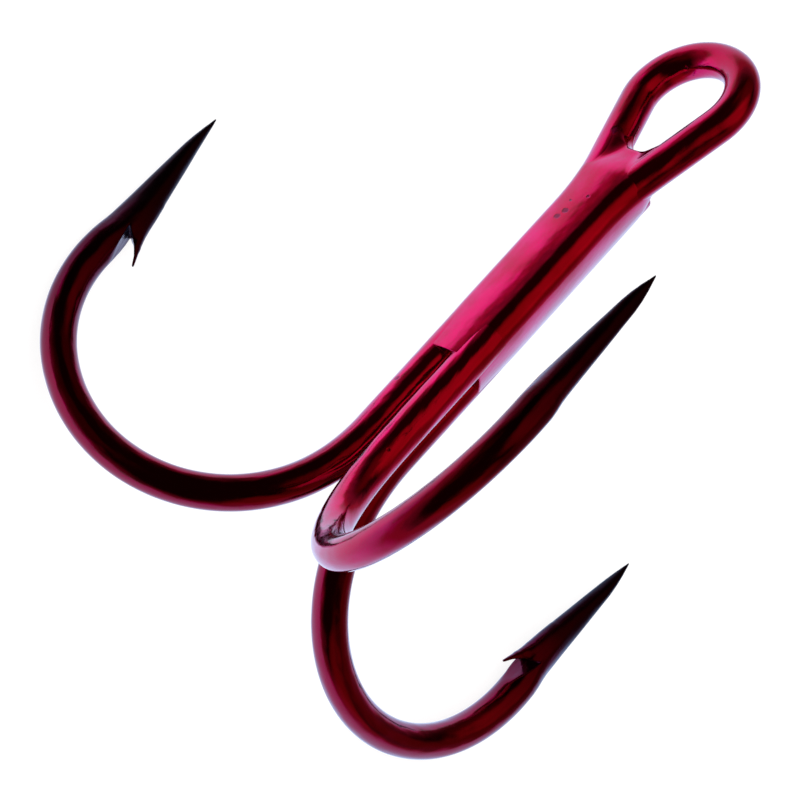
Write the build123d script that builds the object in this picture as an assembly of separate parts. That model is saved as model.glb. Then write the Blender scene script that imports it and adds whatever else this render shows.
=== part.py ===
from build123d import *
from math import cos, radians, sin, sqrt, tan
import os

os.makedirs("parts", exist_ok=True)

# Treble fishing hook: a doubled wire with an eye and two hooks, a single-hook wire, and the braze
# that joins their shanks. The origin is the middle of the eye, +X runs from the bends to the eye,
# and +Z is the side that the upper hook stands on. All sizes are in millimetres.

# Wire and bundle
WIRE = 1.6  # wire diameter
WIRE_GAP = 0.05  # braze film between two shank wires
SPACING = 120.0  # angle between neighbouring hooks, degrees
UPPER_HOOK = 90.0  # direction of the upper hook round the shank, degrees from +Y
SHANK = 21.0  # start of the bend to the middle of the eye
SINGLE_TOP = 4.4  # cut end of the single wire to the middle of the eye

# Bend, as four tangent arcs from the shank round to the point
BEND_RADII = (9.54, 7.32, 7.46, 6.71)
BEND_TURNS = (12.2, 61.8, 58.95, 48.65)
LEG = 8.15  # end of the bend to the tip

# Eye
EYE_RADIUS = 2.55  # middle of the wire
EYE_LEG_ANGLE = 17.65  # lean of each leg below the loop
NECK_RADIUS = 10.4  # bend that opens each shank wire into its leg
STEM = 3.0  # straight wire drawn together with the eye, below the neck

# Point: distances back from the tip, and how far each section reaches from the middle of the wire
# towards the shank (inner), away from it (outer) and to the side
TIP_OUT = 0.38  # the tip stands outside the middle of the wire
TIP_RADIUS = 0.03
FACET_FROM_TIP, FACET_INNER, FACET_OUTER, FACET_SIDE = 1.75, 0.06, 0.59, 0.38
SHOULDER_FROM_TIP, SHOULDER_INNER, SHOULDER_OUTER, SHOULDER_SIDE = 6.55, 1.20, 0.67, 0.70
POINT_LENGTH = 7.2  # tip to full round wire

# Barb: the cut lifts a sliver of the wire towards the shank and leaves a sloping flat behind it
BARB_ROOT_FROM_TIP, BARB_ROOT_INNER, BARB_ROOT_HALF = 5.2, 0.35, 0.50
BARB_TIP_FROM_TIP, BARB_TIP_INNER, BARB_TIP_HALF = 7.8, 1.72, 0.06
CUT_APEX = (6.60, 0.50)  # back from the tip, towards the shank
CUT_STEPS = ((6.82, 0.82), (7.12, 1.20), (7.85, 1.72))
CUT_FLAT_END = 8.1  # where the flat runs out into the round of the wire
CUT_CLEAR = 0.8  # how far the cutter runs past the wire

# Braze
DECK_START = 4.55  # start of the bend to the step where the flush filling begins
DECK_SHOULDER = 0.6  # the single wire's cut end stands this far out of the flush filling
DECK_INSET = 0.04  # the filling stops this far below the crests of the wires
ROOT_START = -0.8  # the thin filling runs this far past the start of the bend
ROOT_SIZE = 0.35  # half thickness of the thin filling between two wires
THROAT_RADIUS = 1.17  # rounded lower end of the eye's opening
THROAT_BITE = 0.12  # the rounded end runs this far into each leg, so the web has no feather edge
WEB_INSET = 0.2  # the web in the throat is this much thinner than the wire on each side

HALF = WIRE / 2
HALF_PITCH = (WIRE + WIRE_GAP) / 2
BUNDLE_RADIUS = (WIRE + WIRE_GAP) / sqrt(3)
BEND_X = -SHANK
SINGLE_X = -SINGLE_TOP


def tube(edges):
    path = Wire(edges)
    start = Plane(origin=path @ 0, z_dir=path % 0)
    return sweep(start * Circle(HALF), path=path)


# One hook, drawn in the XY plane with the shank's middle line on X and the hook towards +Y
edges = []
at, heading = Vector(BEND_X, BUNDLE_RADIUS), Vector(-1, 0)
for radius, turn in zip(BEND_RADII, BEND_TURNS):
    arc = JernArc(at, heading, radius, -turn)
    edges.append(arc)
    at, heading = arc @ 1, arc % 1
bend_end = at
along = heading
inward = Vector(along.Y, -along.X)
tip = bend_end + along * LEG
edges.append(Line(bend_end, tip - along * POINT_LENGTH))
bend_edges = edges


def point_place(back, inner):
    return tip - along * back + inward * inner


def point_section(back, inner, outer, side):
    middle = point_place(back, (inner - outer) / 2)
    return Plane(origin=middle, x_dir=inward, z_dir=along) * Ellipse((inner + outer) / 2, side)


point = loft(
    [
        Plane(origin=point_place(POINT_LENGTH, 0), x_dir=inward, z_dir=along) * Circle(HALF),
        point_section(SHOULDER_FROM_TIP, SHOULDER_INNER, SHOULDER_OUTER, SHOULDER_SIDE),
        point_section(FACET_FROM_TIP, FACET_INNER, FACET_OUTER, FACET_SIDE),
        Plane(origin=point_place(0, -TIP_OUT), x_dir=inward, z_dir=along) * Circle(TIP_RADIUS),
    ],
    ruled=True,
)
barb = loft(
    [
        Plane(origin=point_place(back, inner), x_dir=inward, z_dir=along) * Circle(half)
        for back, inner, half in (
            (BARB_ROOT_FROM_TIP, BARB_ROOT_INNER, BARB_ROOT_HALF),
            (BARB_TIP_FROM_TIP, BARB_TIP_INNER, BARB_TIP_HALF),
        )
    ],
    ruled=True,
)
cut_outline = [point_place(*CUT_APEX)]
cut_outline += [point_place(*step) for step in CUT_STEPS]
cut_outline += [
    point_place(CUT_FLAT_END + CUT_CLEAR, BARB_TIP_INNER + CUT_CLEAR),
    point_place(CUT_FLAT_END, HALF),
]
cutter = extrude(make_face(Polyline(*cut_outline, close=True)), amount=WIRE, both=True)


def hook(shank_end):
    """One hook with its shank wire, from the shank's end round to the tip."""
    shank_line = Line((shank_end, BUNDLE_RADIUS), (BEND_X, BUNDLE_RADIUS))
    return tube([shank_line, *bend_edges]) + point + barb - cutter


# The eye, drawn in its own plane with its middle at the origin and its legs towards -X
lean = radians(EYE_LEG_ANGLE)
leg_top = Vector(-EYE_RADIUS * sin(lean), EYE_RADIUS * cos(lean))
leg_length = (leg_top.Y - HALF_PITCH - NECK_RADIUS * (1 - cos(lean))) / sin(lean)
leg_foot = leg_top - Vector(cos(lean), sin(lean)) * leg_length
neck_x = leg_foot.X - NECK_RADIUS * sin(lean)
stem_x = neck_x - STEM


def mirrored(v):
    return Vector(v.X, -v.Y)


eye_plane = Plane(origin=(0, 0, -BUNDLE_RADIUS / 2))
half_turn = 180 + 2 * EYE_LEG_ANGLE
eye_edges = [
    Line((stem_x, HALF_PITCH), (neck_x, HALF_PITCH)),
    JernArc((neck_x, HALF_PITCH), (1, 0), NECK_RADIUS, EYE_LEG_ANGLE),
    Line(leg_foot, leg_top),
    JernArc(leg_top, leg_top - leg_foot, EYE_RADIUS, -half_turn),
    Line(mirrored(leg_top), mirrored(leg_foot)),
    JernArc(mirrored(leg_foot), mirrored(leg_foot) - mirrored(leg_top), NECK_RADIUS, EYE_LEG_ANGLE),
    Line((neck_x, -HALF_PITCH), (stem_x, -HALF_PITCH)),
]
eye = tube([eye_plane * edge for edge in eye_edges])

# The eye lies across the two wires that it joins, opposite the single one
around = Axis.X
eye = eye.rotate(around, UPPER_HOOK + SPACING / 4)
single_hook = hook(SINGLE_X).rotate(around, UPPER_HOOK + SPACING)
half_wire = hook(stem_x)
double_hook = half_wire.rotate(around, UPPER_HOOK) + eye + half_wire.rotate(around, UPPER_HOOK - SPACING)

# Braze: flush filling round the three wires, thin filling towards the bends, web in the throat
centres = [
    Vector(BUNDLE_RADIUS, 0).rotate(Axis.Z, UPPER_HOOK + turn) for turn in (-SPACING, 0, SPACING)
]


def filling(reach, start_x, end_x):
    outline = make_hull([edge for c in centres for edge in (Pos(c.X, c.Y) * Circle(reach)).edges()])
    return extrude(Plane.YZ.offset(start_x) * outline, amount=end_x - start_x)


deck_x = BEND_X + DECK_START
deck = filling(HALF - DECK_INSET, deck_x, SINGLE_X - DECK_SHOULDER)
root = filling(ROOT_SIZE, BEND_X + ROOT_START, deck_x)
web_top = (THROAT_RADIUS - THROAT_BITE + HALF) / cos(lean)
throat_x = leg_top.X + (web_top - leg_top.Y) / tan(lean)
web_outline = Polyline(
    (neck_x, HALF_PITCH),
    (leg_foot.X, leg_foot.Y),
    (throat_x, web_top),
    (throat_x, -web_top),
    (leg_foot.X, -leg_foot.Y),
    (neck_x, -HALF_PITCH),
    close=True,
)
web_face = make_face(web_outline) - Pos(throat_x, 0) * Circle(THROAT_RADIUS)
web = extrude(eye_plane * web_face, amount=HALF - WEB_INSET, both=True)
web = web.rotate(around, UPPER_HOOK + SPACING / 4)
braze = deck + root + web - double_hook - single_hook

# The middle of the eye becomes the origin
side = radians(UPPER_HOOK - SPACING / 2)
place = Pos(0, -cos(side) * BUNDLE_RADIUS / 2, -sin(side) * BUNDLE_RADIUS / 2)
for name, solid in (
    ("double_hook", double_hook),
    ("single_hook", single_hook),
    ("braze", braze),
):
    piece = place * solid
    print(name, type(piece).__name__, "solids", len(piece.solids()), "volume", round(piece.volume, 3))
    export_step(piece, f"parts/{name}.step")
whole = Compound([place * double_hook, place * single_hook, place * braze])
print("box", whole.bounding_box())
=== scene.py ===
from math import cos, pi, radians, sin, sqrt, tan

import bpy
import numpy as np
from mathutils import Matrix, Vector


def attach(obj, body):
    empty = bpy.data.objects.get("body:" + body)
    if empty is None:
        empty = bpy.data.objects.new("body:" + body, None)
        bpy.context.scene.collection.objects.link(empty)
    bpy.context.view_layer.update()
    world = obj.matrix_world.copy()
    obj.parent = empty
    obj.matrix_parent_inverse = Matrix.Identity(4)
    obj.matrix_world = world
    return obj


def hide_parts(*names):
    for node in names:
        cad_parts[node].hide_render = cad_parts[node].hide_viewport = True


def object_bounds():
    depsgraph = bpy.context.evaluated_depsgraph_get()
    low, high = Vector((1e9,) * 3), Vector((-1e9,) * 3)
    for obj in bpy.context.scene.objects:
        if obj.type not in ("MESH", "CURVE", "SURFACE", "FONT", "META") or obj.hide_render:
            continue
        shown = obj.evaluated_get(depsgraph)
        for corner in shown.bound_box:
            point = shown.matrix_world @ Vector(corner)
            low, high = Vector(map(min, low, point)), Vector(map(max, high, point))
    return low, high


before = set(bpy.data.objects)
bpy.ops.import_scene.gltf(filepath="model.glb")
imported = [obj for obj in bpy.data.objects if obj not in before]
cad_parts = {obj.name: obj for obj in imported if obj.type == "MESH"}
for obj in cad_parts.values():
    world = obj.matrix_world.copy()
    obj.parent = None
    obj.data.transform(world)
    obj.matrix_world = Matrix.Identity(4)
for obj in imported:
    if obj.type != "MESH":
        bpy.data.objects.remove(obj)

cad_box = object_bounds()

# ---------------------------------------------------------------- Double wire
# One length of round steel wire, doubled over to make the line eye. Both ends run down the shank
# side by side and are bent round into a hook, ground to a point and chiselled into a barb. It is
# plated bright and dipped in translucent red lacquer. Sizes are in millimetres.
WIRE = 1.6
WIRE_GAP = 0.05
SPACING = 120.0
UPPER_HOOK = 90.0
SHANK = 21.0
BEND = ((9.54, 12.2), (7.32, 61.8), (7.46, 58.95), (6.71, 48.65))
LEG = 8.15
EYE_RADIUS = 2.55
EYE_LEG_ANGLE = 17.65
NECK_RADIUS = 10.4

HALF = WIRE / 2
HALF_PITCH = (WIRE + WIRE_GAP) / 2
BUNDLE = (WIRE + WIRE_GAP) / sqrt(3)
EYE_SIDE = radians(UPPER_HOOK - SPACING / 2)
SHANK_LINE = -np.array([0, cos(EYE_SIDE), sin(EYE_SIDE)]) * BUNDLE / 2
ALONG = np.array([1.0, 0, 0])
MILLIMETRE = 0.001
TRACE_STEP = 0.02

lean = radians(EYE_LEG_ANGLE)
leg_top = np.array([-EYE_RADIUS * sin(lean), EYE_RADIUS * cos(lean)])
leg_length = (leg_top[1] - HALF_PITCH - NECK_RADIUS * (1 - cos(lean))) / sin(lean)
leg_foot = leg_top - np.array([cos(lean), sin(lean)]) * leg_length
neck_x = leg_foot[0] - NECK_RADIUS * sin(lean)


def outward(degrees):
    """Direction square to the shank, counted from +Y towards +Z."""
    return np.array([0, cos(radians(degrees)), sin(radians(degrees))])


class Bent:
    """A wire's middle line, with the direction of travel and the inner side at every point."""

    def __init__(self, start, ahead, inner):
        self.place, self.ahead, self.inner = [np.array([v], float) for v in (start, ahead, inner)]

    def run(self, length, curve=0.0, twist_to=None):
        """A straight run, with or without a twist, or an arc that curves to the inner side."""
        start, ahead, inner = self.place[-1], self.ahead[-1], self.inner[-1]
        travel = np.linspace(0, length, max(3, int(length / TRACE_STEP)))[1:, None]
        turn = travel * curve
        if curve:
            place = start + np.sin(turn) / curve * ahead + (1 - np.cos(turn)) / curve * inner
        else:
            place = start + travel * ahead
        next_ahead = np.cos(turn) * ahead + np.sin(turn) * inner
        next_inner = np.cos(turn) * inner - np.sin(turn) * ahead
        if twist_to is not None:
            square = twist_to - inner * (twist_to @ inner)
            angle = np.arccos(np.clip(twist_to @ inner, -1, 1)) * travel / length
            next_inner = np.cos(angle) * inner + np.sin(angle) * square / np.linalg.norm(square)
        self.place = np.concatenate([self.place, place])
        self.ahead = np.concatenate([self.ahead, next_ahead + 0 * place])
        self.inner = np.concatenate([self.inner, next_inner + 0 * place])
        return self

    def reverse(self):
        """The same line, travelled the other way."""
        self.place, self.inner = self.place[::-1], self.inner[::-1]
        self.ahead = -self.ahead[::-1]
        return self

    def hook(self):
        """The bend, in arcs of changing radius, and the straight leg to the point."""
        for radius, turn in BEND:
            self.run(radius * radians(turn), 1 / radius)
        return self.run(LEG)

    def measure(self):
        """Works out the distance of every point from the start."""
        steps = np.linalg.norm(np.diff(self.place, axis=0), axis=1)
        self.far = np.concatenate([[0], np.cumsum(steps)])
        self.length = self.far[-1]
        return self

    def at(self, far):
        """Place, direction of travel and inner side at distances along the wire."""
        return [
            np.stack([np.interp(far, self.far, column) for column in rows.T], -1)
            for rows in (self.place, self.ahead, self.inner)
        ]


def shank_wire(degrees):
    """Middle line of one hook from the start of its bend to its tip."""
    side = outward(degrees)
    return Bent(SHANK_LINE + side * BUNDLE - ALONG * SHANK, -ALONG, side).hook()


lower_side, upper_side = outward(UPPER_HOOK - SPACING), outward(UPPER_HOOK)
across = (upper_side - lower_side) / np.linalg.norm(upper_side - lower_side)
double_wire = shank_wire(UPPER_HOOK - SPACING).reverse()
double_wire.run(SHANK + neck_x, twist_to=across)
double_wire.run(NECK_RADIUS * lean, -1 / NECK_RADIUS).run(leg_length)
double_wire.run(EYE_RADIUS * (pi + 2 * lean), 1 / EYE_RADIUS)
double_wire.run(leg_length).run(NECK_RADIUS * lean, -1 / NECK_RADIUS)
double_wire.run(SHANK + neck_x, twist_to=upper_side)
double_wire.hook()
double_wire.measure()

# Ground point: distance back from the tip, then how far the section reaches from the middle of the
# wire outwards, inwards and to each side
POINT = np.array([
    (-0.2, 0.400, -0.360, 0.012),
    (0.00, 0.405, -0.350, 0.025),
    (0.30, 0.440, -0.270, 0.095),
    (0.72, 0.490, -0.180, 0.205),
    (1.25, 0.545, -0.060, 0.310),
    (1.80, 0.590, 0.065, 0.380),
    (2.50, 0.610, 0.240, 0.425),
    (4.00, 0.640, 0.590, 0.530),
    (5.40, 0.660, 0.920, 0.620),
    (6.50, 0.690, 1.130, 0.695),
    (6.85, 0.720, 1.080, 0.720),
    (7.30, 0.770, 0.900, 0.765),
    (7.70, 0.795, 0.810, 0.795),
    (8.00, 0.800, 0.800, 0.800),
])
# Barb: a chain of tapering links, each a distance back from the tip, a height and a radius
BARB = np.array([(4.9, 0.36, 0.42), (6.3, 0.72, 0.39), (7.1, 1.15, 0.27), (7.78, 1.66, 0.07)])
# Chisel cut under the barb: distance back from the tip and height of the cut's upper face, then how
# steeply its floor rises
CUT_FACE = np.array([
    (6.58, 0.46), (6.70, 0.62), (6.85, 0.85), (7.12, 1.16), (7.45, 1.44), (8.0, 1.74),
])
CUT_SLOPE = 0.2
CUT_STEEP = 0.75
BARB_BLEND = 0.06
BARB_FOOT = 0.10
CUT_ROOT = 0.08
CUT_EDGE = 0.05
FAR_OUTSIDE = 9.0


def soften(a, b, size, sign):
    """Join (sign 1) or cut (sign -1) with a rounded edge of about this size."""
    mix = np.clip(0.5 + sign * (b - a) / (2 * size), 0, 1)
    return b + (a - b) * mix - sign * size * mix * (1 - mix)


def pointed_wire(back, inner, side):
    """How far outside the wire's surface a place is; back is counted from the nearest tip."""
    out, into, wide = (np.interp(back, POINT[:, 0], POINT[:, k]) for k in (1, 2, 3))
    half, middle = (out + into) / 2, (into - out) / 2
    body = (np.hypot((inner - middle) / half, side / wide) - 1) * np.minimum(half, wide)
    body = np.maximum(body, -back)
    barb = np.full_like(body, FAR_OUTSIDE)
    for start, end in zip(BARB, BARB[1:]):
        spine = end - start
        share = (back - start[0]) * spine[0] + (inner - start[1]) * spine[1]
        share = np.clip(share / (spine[0] ** 2 + spine[1] ** 2), 0, 1)
        link_back, link_inner, radius = (a + share * b for a, b in zip(start, spine))
        link = np.sqrt((back - link_back) ** 2 + (inner - link_inner) ** 2 + side**2) - radius
        barb = soften(barb, link, BARB_BLEND, 1)
    body = soften(body, barb, BARB_FOOT, 1)
    under = inner - np.interp(back, CUT_FACE[:, 0], CUT_FACE[:, 1])
    over = CUT_FACE[0, 1] + CUT_SLOPE * (back - CUT_FACE[0, 0]) - inner
    cut = soften(np.maximum(CUT_STEEP * under, CUT_FACE[0, 0] - back), over, CUT_ROOT, -1)
    return soften(body, -cut, CUT_EDGE, -1)


def skin(field, axes):
    """Closed surface where a field is zero, with one corner in each grid cell that it crosses."""
    value = field(*np.meshgrid(*axes, indexing="ij"))
    cells = tuple(n - 1 for n in value.shape)
    total, count = np.zeros((*cells, 3)), np.zeros(cells)
    spread_axes = np.meshgrid(*axes, indexing="ij", sparse=True)
    crossings = []
    for axis in range(3):
        low = [slice(None)] * 3
        high = [slice(None)] * 3
        low[axis], high[axis] = slice(0, -1), slice(1, None)
        a, b = value[tuple(low)], value[tuple(high)]
        crossed = (a < 0) != (b < 0)
        share = np.where(crossed, a / np.where(crossed, a - b, 1), 0)
        places = [np.broadcast_to(g, value.shape)[tuple(low)] for g in spread_axes]
        step = np.diff(axes[axis]).reshape([-1 if k == axis else 1 for k in range(3)])
        places[axis] = places[axis] + share * step
        others = [k for k in range(3) if k != axis]
        for first in (0, 1):
            for second in (0, 1):
                part = [slice(None)] * 3
                part[others[0]] = slice(first, first + cells[others[0]])
                part[others[1]] = slice(second, second + cells[others[1]])
                part = tuple(part)
                count += crossed[part]
                for k in range(3):
                    total[..., k] += np.where(crossed[part], places[k][part], 0)
        crossings.append((axis, others, crossed, a < 0))
    used = count > 0
    number = np.full(cells, -1)
    number[used] = np.arange(used.sum())
    corners = total[used] / count[used][:, None]
    faces = []
    for axis, others, crossed, inside in crossings:
        inner_part = [slice(None)] * 3
        for k in others:
            inner_part[k] = slice(1, -1)
        at = np.argwhere(crossed[tuple(inner_part)])
        solid_first = inside[tuple(inner_part)][tuple(at.T)]
        ring = []
        for first, second in ((0, 0), (1, 0), (1, 1), (0, 1)):
            cell = at.copy()
            cell[:, others[0]] += first
            cell[:, others[1]] += second
            ring.append(number[tuple(cell.T)])
        ring = np.stack(ring, 1)
        flip = solid_first if axis == 1 else ~solid_first
        ring[flip] = ring[flip][:, ::-1]
        faces.append(ring)
    return corners, np.concatenate(faces)


def slope(field, corners, step=0.004):
    """How fast the field rises along each axis."""
    return np.stack(
        [field(*(corners + d).T) - field(*(corners - d).T) for d in np.eye(3) * step], 1
    ) / (2 * step)


SETTLE_TURNS = 4
SETTLE_MOST = 0.03
FLATTEST = 0.2


def settle(field, corners):
    """Moves the corners onto the surface and gives the surface's direction there."""
    for _ in range(SETTLE_TURNS):
        rise = slope(field, corners)
        lift = (field(*corners.T) / np.maximum((rise**2).sum(1), FLATTEST))[:, None] * rise
        corners = corners - np.clip(lift, -SETTLE_MOST, SETTLE_MOST)
    return corners, slope(field, corners)


def shell(name, places, faces, directions, depth, grain):
    """A smooth mesh in the part's frame; each corner keeps its lacquer depth and grain place."""
    mesh = bpy.data.meshes.new(name)
    mesh.from_pydata((places * MILLIMETRE).tolist(), [], faces.tolist())
    mesh.validate()
    mesh.shade_smooth()
    directions = directions / np.maximum(np.linalg.norm(directions, axis=1), 1e-9)[:, None]
    mesh.normals_split_custom_set_from_vertices(directions.tolist())
    mesh.attributes.new("depth", "FLOAT", "POINT").data.foreach_set("value", depth)
    mesh.attributes.new("grain", "FLOAT_VECTOR", "POINT").data.foreach_set("vector", grain.ravel())
    piece = bpy.data.objects.new(name, mesh)
    bpy.context.scene.collection.objects.link(piece)
    return piece


# Grid of the wire's skin: close stations over the point and barb, wider ones over the plain wire
FINE_STEP = 0.045
FINE_LENGTH = 9.0
PLAIN_STEP = 0.2
ROUND_STEP = 0.055
PAST_END = 0.1


def draw_wire(name, wire, from_tip, field, shade):
    """The skin of a bent wire; from_tip turns distance along the wire into distance from a tip."""
    stations = [-PAST_END]
    while stations[-1] < wire.length + PAST_END:
        step = FINE_STEP if from_tip(stations[-1]) < FINE_LENGTH else PLAIN_STEP
        stations.append(stations[-1] + step)
    inward, sideways = np.arange(-0.95, 2.0, ROUND_STEP), np.arange(-0.93, 0.94, ROUND_STEP)
    axes = (np.array(stations), inward, sideways)
    corners, faces = skin(field, axes)
    corners, rise = settle(field, corners)
    along = np.clip(corners[:, 0], 0, wire.length)
    place, ahead, inner = wire.at(along)
    ahead /= np.linalg.norm(ahead, axis=1)[:, None]
    inner /= np.linalg.norm(inner, axis=1)[:, None]
    beside = np.cross(ahead, inner)
    place = place + ahead * (corners[:, :1] - along[:, None])
    place += inner * corners[:, 1:2] + beside * corners[:, 2:]
    directions = ahead * rise[:, :1] + inner * rise[:, 1:2] + beside * rise[:, 2:]
    return shell(name, place, faces, directions, shade(along), corners)


# Depth of the lacquer's colour against distance from the tip: 0 bright cherry, 1 nearly black
LOWER_DEPTH = (
    (0, 1), (5, 0.96), (8, 0.88), (12, 0.72), (16, 0.62), (26, 0.57), (31, 0.22), (36, 0),
    (44, 0), (51, 0.18),
)
UPPER_DEPTH = (
    (0, 0.98), (5, 0.93), (8, 0.80), (11, 0.60), (15, 0.35), (19, 0.08), (23, 0), (44, 0),
    (51, 0.18),
)


def read(table, value):
    return np.interp(value, *np.array(table).T)


def double_ends(along):
    return np.minimum(along, double_wire.length - along)


def double_shade(along):
    upper = along > double_wire.length / 2
    return np.where(upper, read(UPPER_DEPTH, double_wire.length - along), read(LOWER_DEPTH, along))


def double_field(along, inner, side):
    return pointed_wire(double_ends(along), inner, side)


double_piece = draw_wire("double_wire", double_wire, double_ends, double_field, double_shade)


class Socket:
    """A shader value that takes part in Python arithmetic."""

    tree = None

    def __init__(self, socket):
        self.socket = socket

    @classmethod
    def node(cls, kind, settings=None, out=0, **inputs):
        """A node of this kind. Its settings come first, then its sockets by number or by name."""
        made = cls.tree.nodes.new(kind)
        for key, value in (settings or {}).items():
            setattr(made, key, value)
        for key, value in inputs.items():
            name = key.replace("_", " ")
            socket = made.inputs[int(key[1:])] if key[1:].isdigit() else made.inputs[name]
            if isinstance(value, cls):
                cls.tree.links.new(value.socket, socket)
            else:
                socket.default_value = value
        return cls(made.outputs[out])

    def maths(self, operation, other, swap=False):
        pair = (other, self) if swap else (self, other)
        return Socket.node("ShaderNodeMath", {"operation": operation}, i0=pair[0], i1=pair[1])

    __add__ = lambda a, b: a.maths("ADD", b)
    __radd__ = lambda a, b: a.maths("ADD", b, True)
    __sub__ = lambda a, b: a.maths("SUBTRACT", b)
    __rsub__ = lambda a, b: a.maths("SUBTRACT", b, True)
    __mul__ = lambda a, b: a.maths("MULTIPLY", b)
    __rmul__ = lambda a, b: a.maths("MULTIPLY", b, True)
    __truediv__ = lambda a, b: a.maths("DIVIDE", b)

    def between(self, low, high):
        """0 below low, 1 above high, smooth in between."""
        return Socket.node(
            "ShaderNodeMapRange",
            {"interpolation_type": "SMOOTHSTEP"},
            Value=self, From_Min=low, From_Max=high,
        )

    def tint(self, first, second):
        """The first colour where this is 0, the second where it is 1."""
        return Socket.node(
            "ShaderNodeMix", {"data_type": "RGBA"}, out=2, i0=self, i6=first, i7=second
        )


def lacquer(name, stretch, unevenness, chips):
    """Translucent red lacquer over bright plating. It pools unevenly and is darkest on the points.
    Chips are small dark bruises, each a place in grain coordinates and a radius."""
    material = bpy.data.materials.new(name)
    material.use_nodes = True
    tree = Socket.tree = material.node_tree
    tree.nodes.clear()
    grain = Socket.node("ShaderNodeAttribute", {"attribute_name": "grain"}, out=1)
    depth = Socket.node("ShaderNodeAttribute", {"attribute_name": "depth"}, out=2)
    drawn = Socket.node(
        "ShaderNodeVectorMath", {"operation": "MULTIPLY"}, i0=grain, i1=(stretch, 1, 1)
    )
    flow = Socket.node("ShaderNodeTexNoise", Vector=drawn, Scale=0.55, Detail=3.0)
    fine = Socket.node("ShaderNodeTexNoise", Vector=drawn, Scale=5.0, Detail=4.0)
    mottle = Socket.node("ShaderNodeTexNoise", Vector=grain, Scale=2.2, Detail=3.0)
    specks = Socket.node("ShaderNodeTexVoronoi", {"feature": "F1"}, Vector=grain, Scale=0.9)
    spot = Socket.node("ShaderNodeTexNoise", Vector=grain, Scale=1.1, Detail=1.0)
    pinhole = (1 - specks.between(0.03, 0.10)) * spot.between(0.62, 0.68)
    bruise = pinhole
    for place, radius in chips:
        near = Socket.node(
            "ShaderNodeVectorMath", {"operation": "DISTANCE"}, out=1, i0=grain, i1=place
        )
        edge = near / radius + (mottle - 0.5) * 1.2
        bruise = bruise + (1 - edge.between(0.45, 0.95)) * (1 - pinhole)
    shallow = flow.between(0.38, 0.68).tint(THIN_CHERRY, POOLED_CHERRY)
    colour = (depth + (mottle - 0.5) * 0.16 * depth).between(0.0, 0.5).tint(shallow, BEND_RED)
    colour = depth.between(0.5, 0.85).tint(colour, DARK_RED)
    colour = depth.between(0.82, 1.0).tint(colour, POINT_MAROON)
    colour = (bruise * 0.55).tint(colour, BRUISE_PLUM)
    rough = 0.11 + fine.between(0.3, 0.8) * 0.08 + depth.between(0.8, 1.0) * 0.24 + bruise * 0.25
    uneven = Socket.node("ShaderNodeTexNoise", Vector=drawn, Scale=0.9, Detail=2.0)
    height = uneven * unevenness + fine * 0.05 * unevenness - bruise * 0.015
    bump = Socket.node("ShaderNodeBump", Height=height, Strength=1.0, Distance=0.001)
    shader = Socket.node(
        "ShaderNodeBsdfPrincipled",
        Base_Color=colour, Roughness=rough, Metallic=1.0, Normal=bump,
        Specular_Tint=(0.7, 0.85, 1.0, 1), Coat_Weight=1.0 - depth.between(0.6, 0.95) * 0.8,
        Coat_Roughness=0.06, Coat_IOR=1.26,
    )
    end = tree.nodes.new("ShaderNodeOutputMaterial")
    tree.links.new(shader.socket, end.inputs["Surface"])
    return material


THIN_CHERRY = (0.78, 0.0, 0.14, 1)
POOLED_CHERRY = (0.56, 0.0, 0.06, 1)
BEND_RED = (0.30, 0.0, 0.04, 1)
DARK_RED = (0.09, 0.0, 0.02, 1)
POINT_MAROON = (0.012, 0.003, 0.006, 1)
BRUISE_PLUM = (0.05, 0.01, 0.07, 1)
WIRE_CHIPS = (
    ((49.35, 0.35, -0.72), 0.34),
    ((57.57, -0.77, -0.21), 0.20),
    ((33.79, 0.73, 0.34), 0.16),
    ((91.14, 0.46, 0.66), 0.14),
    ((106.1, -0.21, -0.77), 0.15),
)
wire_lacquer = lacquer("wire_lacquer", 0.35, 0.16, WIRE_CHIPS)
double_piece.data.materials.append(wire_lacquer)
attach(double_piece, "root")
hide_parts("double_hook")

# ---------------------------------------------------------------- Single wire
# A second piece of the same wire with one hook. It lies in the groove behind the double wire, and
# its upper end is cropped square just below the eye, with the burr rolled over by tumbling.
SINGLE_TOP = 4.4
CROP_ROUND = 0.12
REAR_DEPTH = (
    (0, 1), (5, 0.93), (8, 0.72), (12, 0.52), (20, 0.42), (25, 0.52), (31, 0.36), (37, 0.15),
)

single_wire = shank_wire(UPPER_HOOK + SPACING).reverse().run(SHANK - SINGLE_TOP).measure()


def cropped_wire(along, inner, side):
    return soften(pointed_wire(along, inner, side), along - single_wire.length, CROP_ROUND, -1)


def single_shade(along):
    return read(REAR_DEPTH, along)


single_piece = draw_wire(
    "single_wire", single_wire, lambda along: along, cropped_wire, single_shade
)
single_piece.data.materials.append(wire_lacquer)
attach(single_piece, "root")
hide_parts("single_hook")

# ---------------------------------------------------------------- Braze
# Filler metal drawn between the three shank wires in the furnace. It stands flush over the upper
# half of the shank, stops in a step across each groove, and webs the throat of the eye.
DECK_START = 4.55
DECK_SHOULDER = 0.6
STEP_EDGE = 0.05
# how far it sinks below the wires' crests at the step and stands proud of them further up; the
# flush faces are arched, with a centre this many half spans below them
SINK = 0.03
PROUD = 0.015
ARCH = 5.0
CORE = -0.1
# web and throat
WEB_START = -5.1
WEB_LIP = 0.28
WEB_BLEND = 0.35
THROAT_RADIUS = 1.17
THROAT_EDGE = 0.12
# how far the wetting runs on past the start of the bends and past the throat
TAIL = 0.9
TIP_REACH = 1.2

deck_x = -SHANK + DECK_START
throat_half = (THROAT_RADIUS - THROAT_EDGE + HALF) / cos(lean)
throat_x = leg_top[0] + (throat_half - leg_top[1]) / tan(lean)


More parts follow.
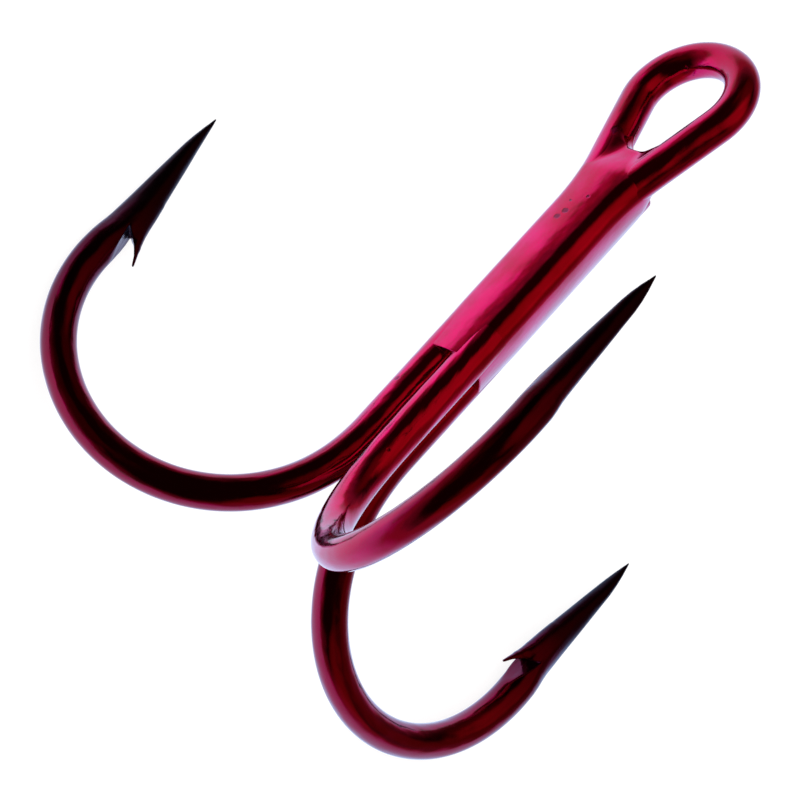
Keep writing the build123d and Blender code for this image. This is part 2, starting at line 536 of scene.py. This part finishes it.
def leg_middle(x):
    """How far each eye wire's middle stands from the shank's middle line."""
    in_neck = np.clip(x - neck_x, 0, NECK_RADIUS * sin(lean))
    flare = NECK_RADIUS - np.sqrt(NECK_RADIUS**2 - in_neck**2)
    return HALF_PITCH + flare + np.maximum(x - leg_foot[0], 0) * tan(lean)


def ramp(x, low, high):
    """0 below low, 1 above high, smooth in between."""
    share = np.clip((x - low) / (high - low), 0, 1)
    return share * share * (3 - 2 * share)


def arched(x, y, ax, ay, bx, by):
    """Distance outside a low arch of filler that spans from one wire's middle to the next."""
    half_x, half_y = (bx - ax) / 2, (by - ay) / 2
    half = np.hypot(half_x, half_y)
    out_x, out_y = half_y / half, -half_x / half
    gap_x = x - (ax + bx) / 2 + out_x * ARCH * half
    gap_y = y - (ay + by) / 2 + out_y * ARCH * half
    rise = gap_x * out_x + gap_y * out_y
    along = np.abs(gap_x * half_x + gap_y * half_y) / half
    over = (rise > ARCH * half) & (along * ARCH <= rise)
    ends = np.minimum(np.hypot(x - ax, y - ay), np.hypot(x - bx, y - by))
    return np.where(over, np.hypot(gap_x, gap_y) - half * np.sqrt(1 + ARCH**2), ends)


def filler(x, l, m):
    """Outside distance of the braze; l lies across the two eye wires, m square to them."""
    spread = leg_middle(x)
    tilt = np.cos(lean * np.clip((x - neck_x) / (leg_foot[0] - neck_x), 0, 1))
    low = -1.5 * BUNDLE
    half = HALF - SINK - 0.12 * (1 - ramp(x, -SHANK - TAIL, -SHANK + 0.6))
    # hidden sleeves inside the three wires, wetted together where they touch
    one = np.hypot((l - spread) * tilt, m) - half
    two = np.hypot((l + spread) * tilt, m) - half
    three = np.maximum(np.hypot(l, m - low) - half, x + SINGLE_TOP + 0.1)
    wet = 0.02 + 0.26 * ramp(x, -SHANK - 1.0, -SHANK + 1.5)
    tubes = soften(soften(one, two, wet, 1), three, wet, 1)
    # flush filling over the three wires, which dips towards the throat of the eye
    dip = ramp(x, WEB_START - 0.3, throat_x - THROAT_RADIUS + 0.25)
    flush = arched(l, m, spread, 0, -spread, 0)
    flush = np.minimum(flush, arched(l, m, -spread, 0, 0 * x, low + 0 * x))
    flush = np.minimum(flush, arched(l, m, 0 * x, low + 0 * x, spread, 0))
    inside = (m <= 0) & (m >= low) & (np.abs(l) <= spread * (m - low) / (-low))
    flush = np.where(inside, CORE, flush)
    proud = (SINK + PROUD) * ramp(x, deck_x, deck_x + 3)
    fill = flush - HALF + SINK - proud + (HALF - WEB_LIP) * dip
    fill = soften(fill, deck_x - x, STEP_EDGE, -1)
    # the rear filling slopes away under the cropped end of the single wire
    shoulder = (x + SINGLE_TOP + DECK_SHOULDER - 0.1) * 0.75 - (m - low) * 0.55
    fill = soften(fill, shoulder, 0.25, -1)
    # web with a thin lip round the throat
    lip = WEB_LIP - (WEB_LIP + 0.3) * ramp(x, throat_x - THROAT_RADIUS + 0.1, throat_x - 0.2)
    web = soften((np.abs(m) - lip) * 0.9, np.abs(l) - spread, STEP_EDGE, -1)
    web = np.maximum(web, WEB_START - 0.6 - x)
    fill = soften(fill, web, WEB_BLEND, 1)
    fill = soften(fill, THROAT_RADIUS - np.hypot(x - throat_x, l), THROAT_EDGE, -1)
    fill = np.maximum(fill, x - throat_x)
    body = soften(tubes, fill, 0.03 + 0.5 * dip, 1)
    body = soften(body, x - throat_x - TIP_REACH, 0.2, -1)
    return soften(body, -SHANK - TAIL - x, 0.1, -1)


braze_axes = (
    np.arange(-SHANK - 2.3, throat_x + 1.6, 0.07),
    np.arange(-3.2, 3.25, ROUND_STEP),
    np.arange(-2.6, 1.1, ROUND_STEP),
)
corners, faces = skin(filler, braze_axes)
corners, rise = settle(filler, corners)
square = np.cross(across, ALONG)
eye_frame = np.stack([ALONG, -across, square])
places = corners @ eye_frame
no_depth = np.zeros(len(corners))
braze_piece = shell("braze_filler", places, faces, rise @ eye_frame, no_depth, corners)
BRAZE_CHIPS = (
    ((-6.87, -0.34, 0.86), 0.13),
    ((-7.95, 0.10, 0.88), 0.20),
    ((-8.35, 0.28, 0.87), 0.24),
    ((-7.35, 0.32, 0.87), 0.11),
)
braze_piece.data.materials.append(lacquer("braze_lacquer", 0.6, 0.05, BRAZE_CHIPS))
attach(braze_piece, "root")
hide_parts("braze")

# ---------------------------------------------------------------- Table
# White paper that sweeps up into a pale backdrop all round, over an opal light sheet that is bright
# under the hook and falls away towards its edges. The lacquer mirrors the sheet, not the paper.
lowest = min(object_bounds()[0].z, cad_box[0].z)
SWEEP = ((0, 0), (0.5, 0), (1.0, 0.02), (1.3, 0.12), (1.5, 0.35), (1.6, 0.8), (1.6, 2.0))
ROUND = 96
PAPER_DROP, SHEET_DROP = 0.00001, 0.0001


def revolved(name, profile, drop):
    """A round dish turned from a profile of radius and height, set a little below the hook."""
    mesh = bpy.data.meshes.new(name)
    turns = [2 * pi * k / ROUND for k in range(ROUND)]
    corners = [(r * cos(t), r * sin(t), lowest - drop + z) for r, z in profile[1:] for t in turns]
    centre = len(corners)
    corners.append((0, 0, lowest - drop))
    faces = [(centre, k, (k + 1) % ROUND) for k in range(ROUND)]
    for ring in range(len(profile) - 2):
        low, high = ring * ROUND, (ring + 1) * ROUND
        for k in range(ROUND):
            faces.append((low + k, high + k, high + (k + 1) % ROUND, low + (k + 1) % ROUND))
    mesh.from_pydata(corners, [], faces)
    mesh.shade_smooth()
    made = bpy.data.objects.new(name, mesh)
    bpy.context.scene.collection.objects.link(made)
    return made


paper = revolved("paper", SWEEP, PAPER_DROP)
paper.visible_glossy = paper.visible_shadow = False
paper_white = bpy.data.materials.new("paper_white")
paper_white.use_nodes = True
white = paper_white.node_tree.nodes["Principled BSDF"]
white.inputs["Base Color"].default_value = (0.22, 0.22, 0.22, 1)
white.inputs["Roughness"].default_value = 0.9
white.inputs["Specular IOR Level"].default_value = 0.0
white.inputs["Emission Color"].default_value = (1, 1, 1, 1)
white.inputs["Emission Strength"].default_value = 0.84
paper.data.materials.append(paper_white)

SHEET_CENTRE = (-0.022, 0.012, lowest)
SHEET_WHITE = (1.10, 1.00, 1.16, 1)
SHEET_BLUE = (0.82, 0.98, 1.30, 1)
SHEET_EDGE = (0.36, 0.08, 0.11, 1)
sheet = revolved("light_sheet", ((0, 0), (0.6, 0)), SHEET_DROP)
sheet.visible_camera = sheet.visible_diffuse = False
opal = bpy.data.materials.new("opal")
opal.use_nodes = True
Socket.tree = opal.node_tree
opal.node_tree.nodes.clear()
spot = Socket.node("ShaderNodeTexCoord", out=3)
far = Socket.node(
    "ShaderNodeVectorMath", {"operation": "DISTANCE"}, out=1, i0=spot, i1=SHEET_CENTRE
)
sideways = Socket.node("ShaderNodeSeparateXYZ", out=1, Vector=spot)
lengthways = Socket.node("ShaderNodeSeparateXYZ", Vector=spot)
fall = (1 - far.between(0.014, 0.100)) * (0.45 + 0.55 * sideways.between(-0.045, -0.012))
warmer = sideways.between(-0.020, 0.035) * lengthways.between(-0.060, -0.025)
middle = warmer.tint(SHEET_BLUE, SHEET_WHITE)
glow = Socket.node("ShaderNodeEmission", Color=fall.tint(SHEET_EDGE, middle), Strength=1.0)
end = opal.node_tree.nodes.new("ShaderNodeOutputMaterial")
opal.node_tree.links.new(glow.socket, end.inputs["Surface"])
sheet.data.materials.append(opal)

# ---------------------------------------------------------------- Light
# A large overhead diffuser for the paper, and a dark studio with a few dim warm panels, which the
# lacquer mirrors.
diffuser = bpy.data.lights.new("diffuser", "AREA")
LAMP_WIDTH, LAMP_WATTS, LAMP_HEIGHT = 1.2, 9.0, 1.0
diffuser.shape, diffuser.size, diffuser.energy = "SQUARE", LAMP_WIDTH, LAMP_WATTS
lamp = bpy.data.objects.new("diffuser", diffuser)
lamp.location = (0, 0, LAMP_HEIGHT)
lamp.visible_glossy = False
bpy.context.scene.collection.objects.link(lamp)

# Panels: turn from +X, angle from straight up and reach, in degrees, then strength
PANELS = (
    (325, 28, 40, 0.32),
    (293, 62, 30, 0.15),
    (236, 72, 34, 0.24),
    (8, 52, 32, 0.08),
    (110, 68, 26, 0.05),
)
PANEL_CORE = 0.15
ROOM_GLOW = 0.012
HORIZON_GLOW = 0.23
WARM, PALE = (1.0, 0.12, 0.10), (1.0, 0.30, 0.42)
world = bpy.data.worlds.new("studio")
bpy.context.scene.world = world
world.use_nodes = True
Socket.tree = world.node_tree
world.node_tree.nodes.clear()
toward = Socket.node("ShaderNodeTexCoord")
level = Socket.node("ShaderNodeSeparateXYZ", out=2, Vector=toward)
panels = 0.0
for turn, tilt, reach, strength in PANELS:
    flat, high = sin(radians(tilt)), cos(radians(tilt))
    centre = (flat * cos(radians(turn)), flat * sin(radians(turn)), high)
    facing = Socket.node(
        "ShaderNodeVectorMath", {"operation": "DOT_PRODUCT"}, out=1, i0=toward, i1=centre
    )
    rim, core = cos(radians(reach)), cos(radians(reach * PANEL_CORE))
    panels = facing.between(rim, core) * strength + panels
horizon = (1 - level.between(-0.05, 0.34)) * HORIZON_GLOW
warm = Socket.node(
    "ShaderNodeVectorMath", {"operation": "SCALE"}, i0=WARM, Scale=panels + ROOM_GLOW
)
pale = Socket.node("ShaderNodeVectorMath", {"operation": "SCALE"}, i0=PALE, Scale=horizon)
sky = Socket.node("ShaderNodeVectorMath", {"operation": "ADD"}, i0=warm, i1=pale)
lit = Socket.node("ShaderNodeBackground", Color=sky, Strength=1.0)
end = world.node_tree.nodes.new("ShaderNodeOutputWorld")
world.node_tree.links.new(lit.socket, end.inputs["Surface"])
bpy.context.scene.view_settings.view_transform = "Standard"

# ---------------------------------------------------------------- Camera
# A long lens looks down on the hook from beyond the bends, turned so that the eye is at the upper
# right.
AIM = Vector((-18.64, 0.073, -1.9385)) * MILLIMETRE
BACK = Vector((-0.35857, 0.20520, 0.91067)).normalized()
UP = Vector((0.68979, 0.71555, 0.11036))
DISTANCE = 293.66 * MILLIMETRE
FOCAL_LENGTH, SENSOR_WIDTH = 307.98, 36.0
lens = bpy.data.cameras.new("camera")
lens.lens, lens.sensor_width = FOCAL_LENGTH, SENSOR_WIDTH
lens.clip_start, lens.clip_end = 0.01, 20.0
camera = bpy.data.objects.new("camera", lens)
camera.location = AIM + BACK * DISTANCE
right = UP.cross(BACK).normalized()
up = BACK.cross(right)
camera.rotation_mode = "QUATERNION"
camera.rotation_quaternion = Matrix((right, up, BACK)).transposed().to_quaternion()
bpy.context.scene.collection.objects.link(camera)
bpy.context.scene.camera = camera
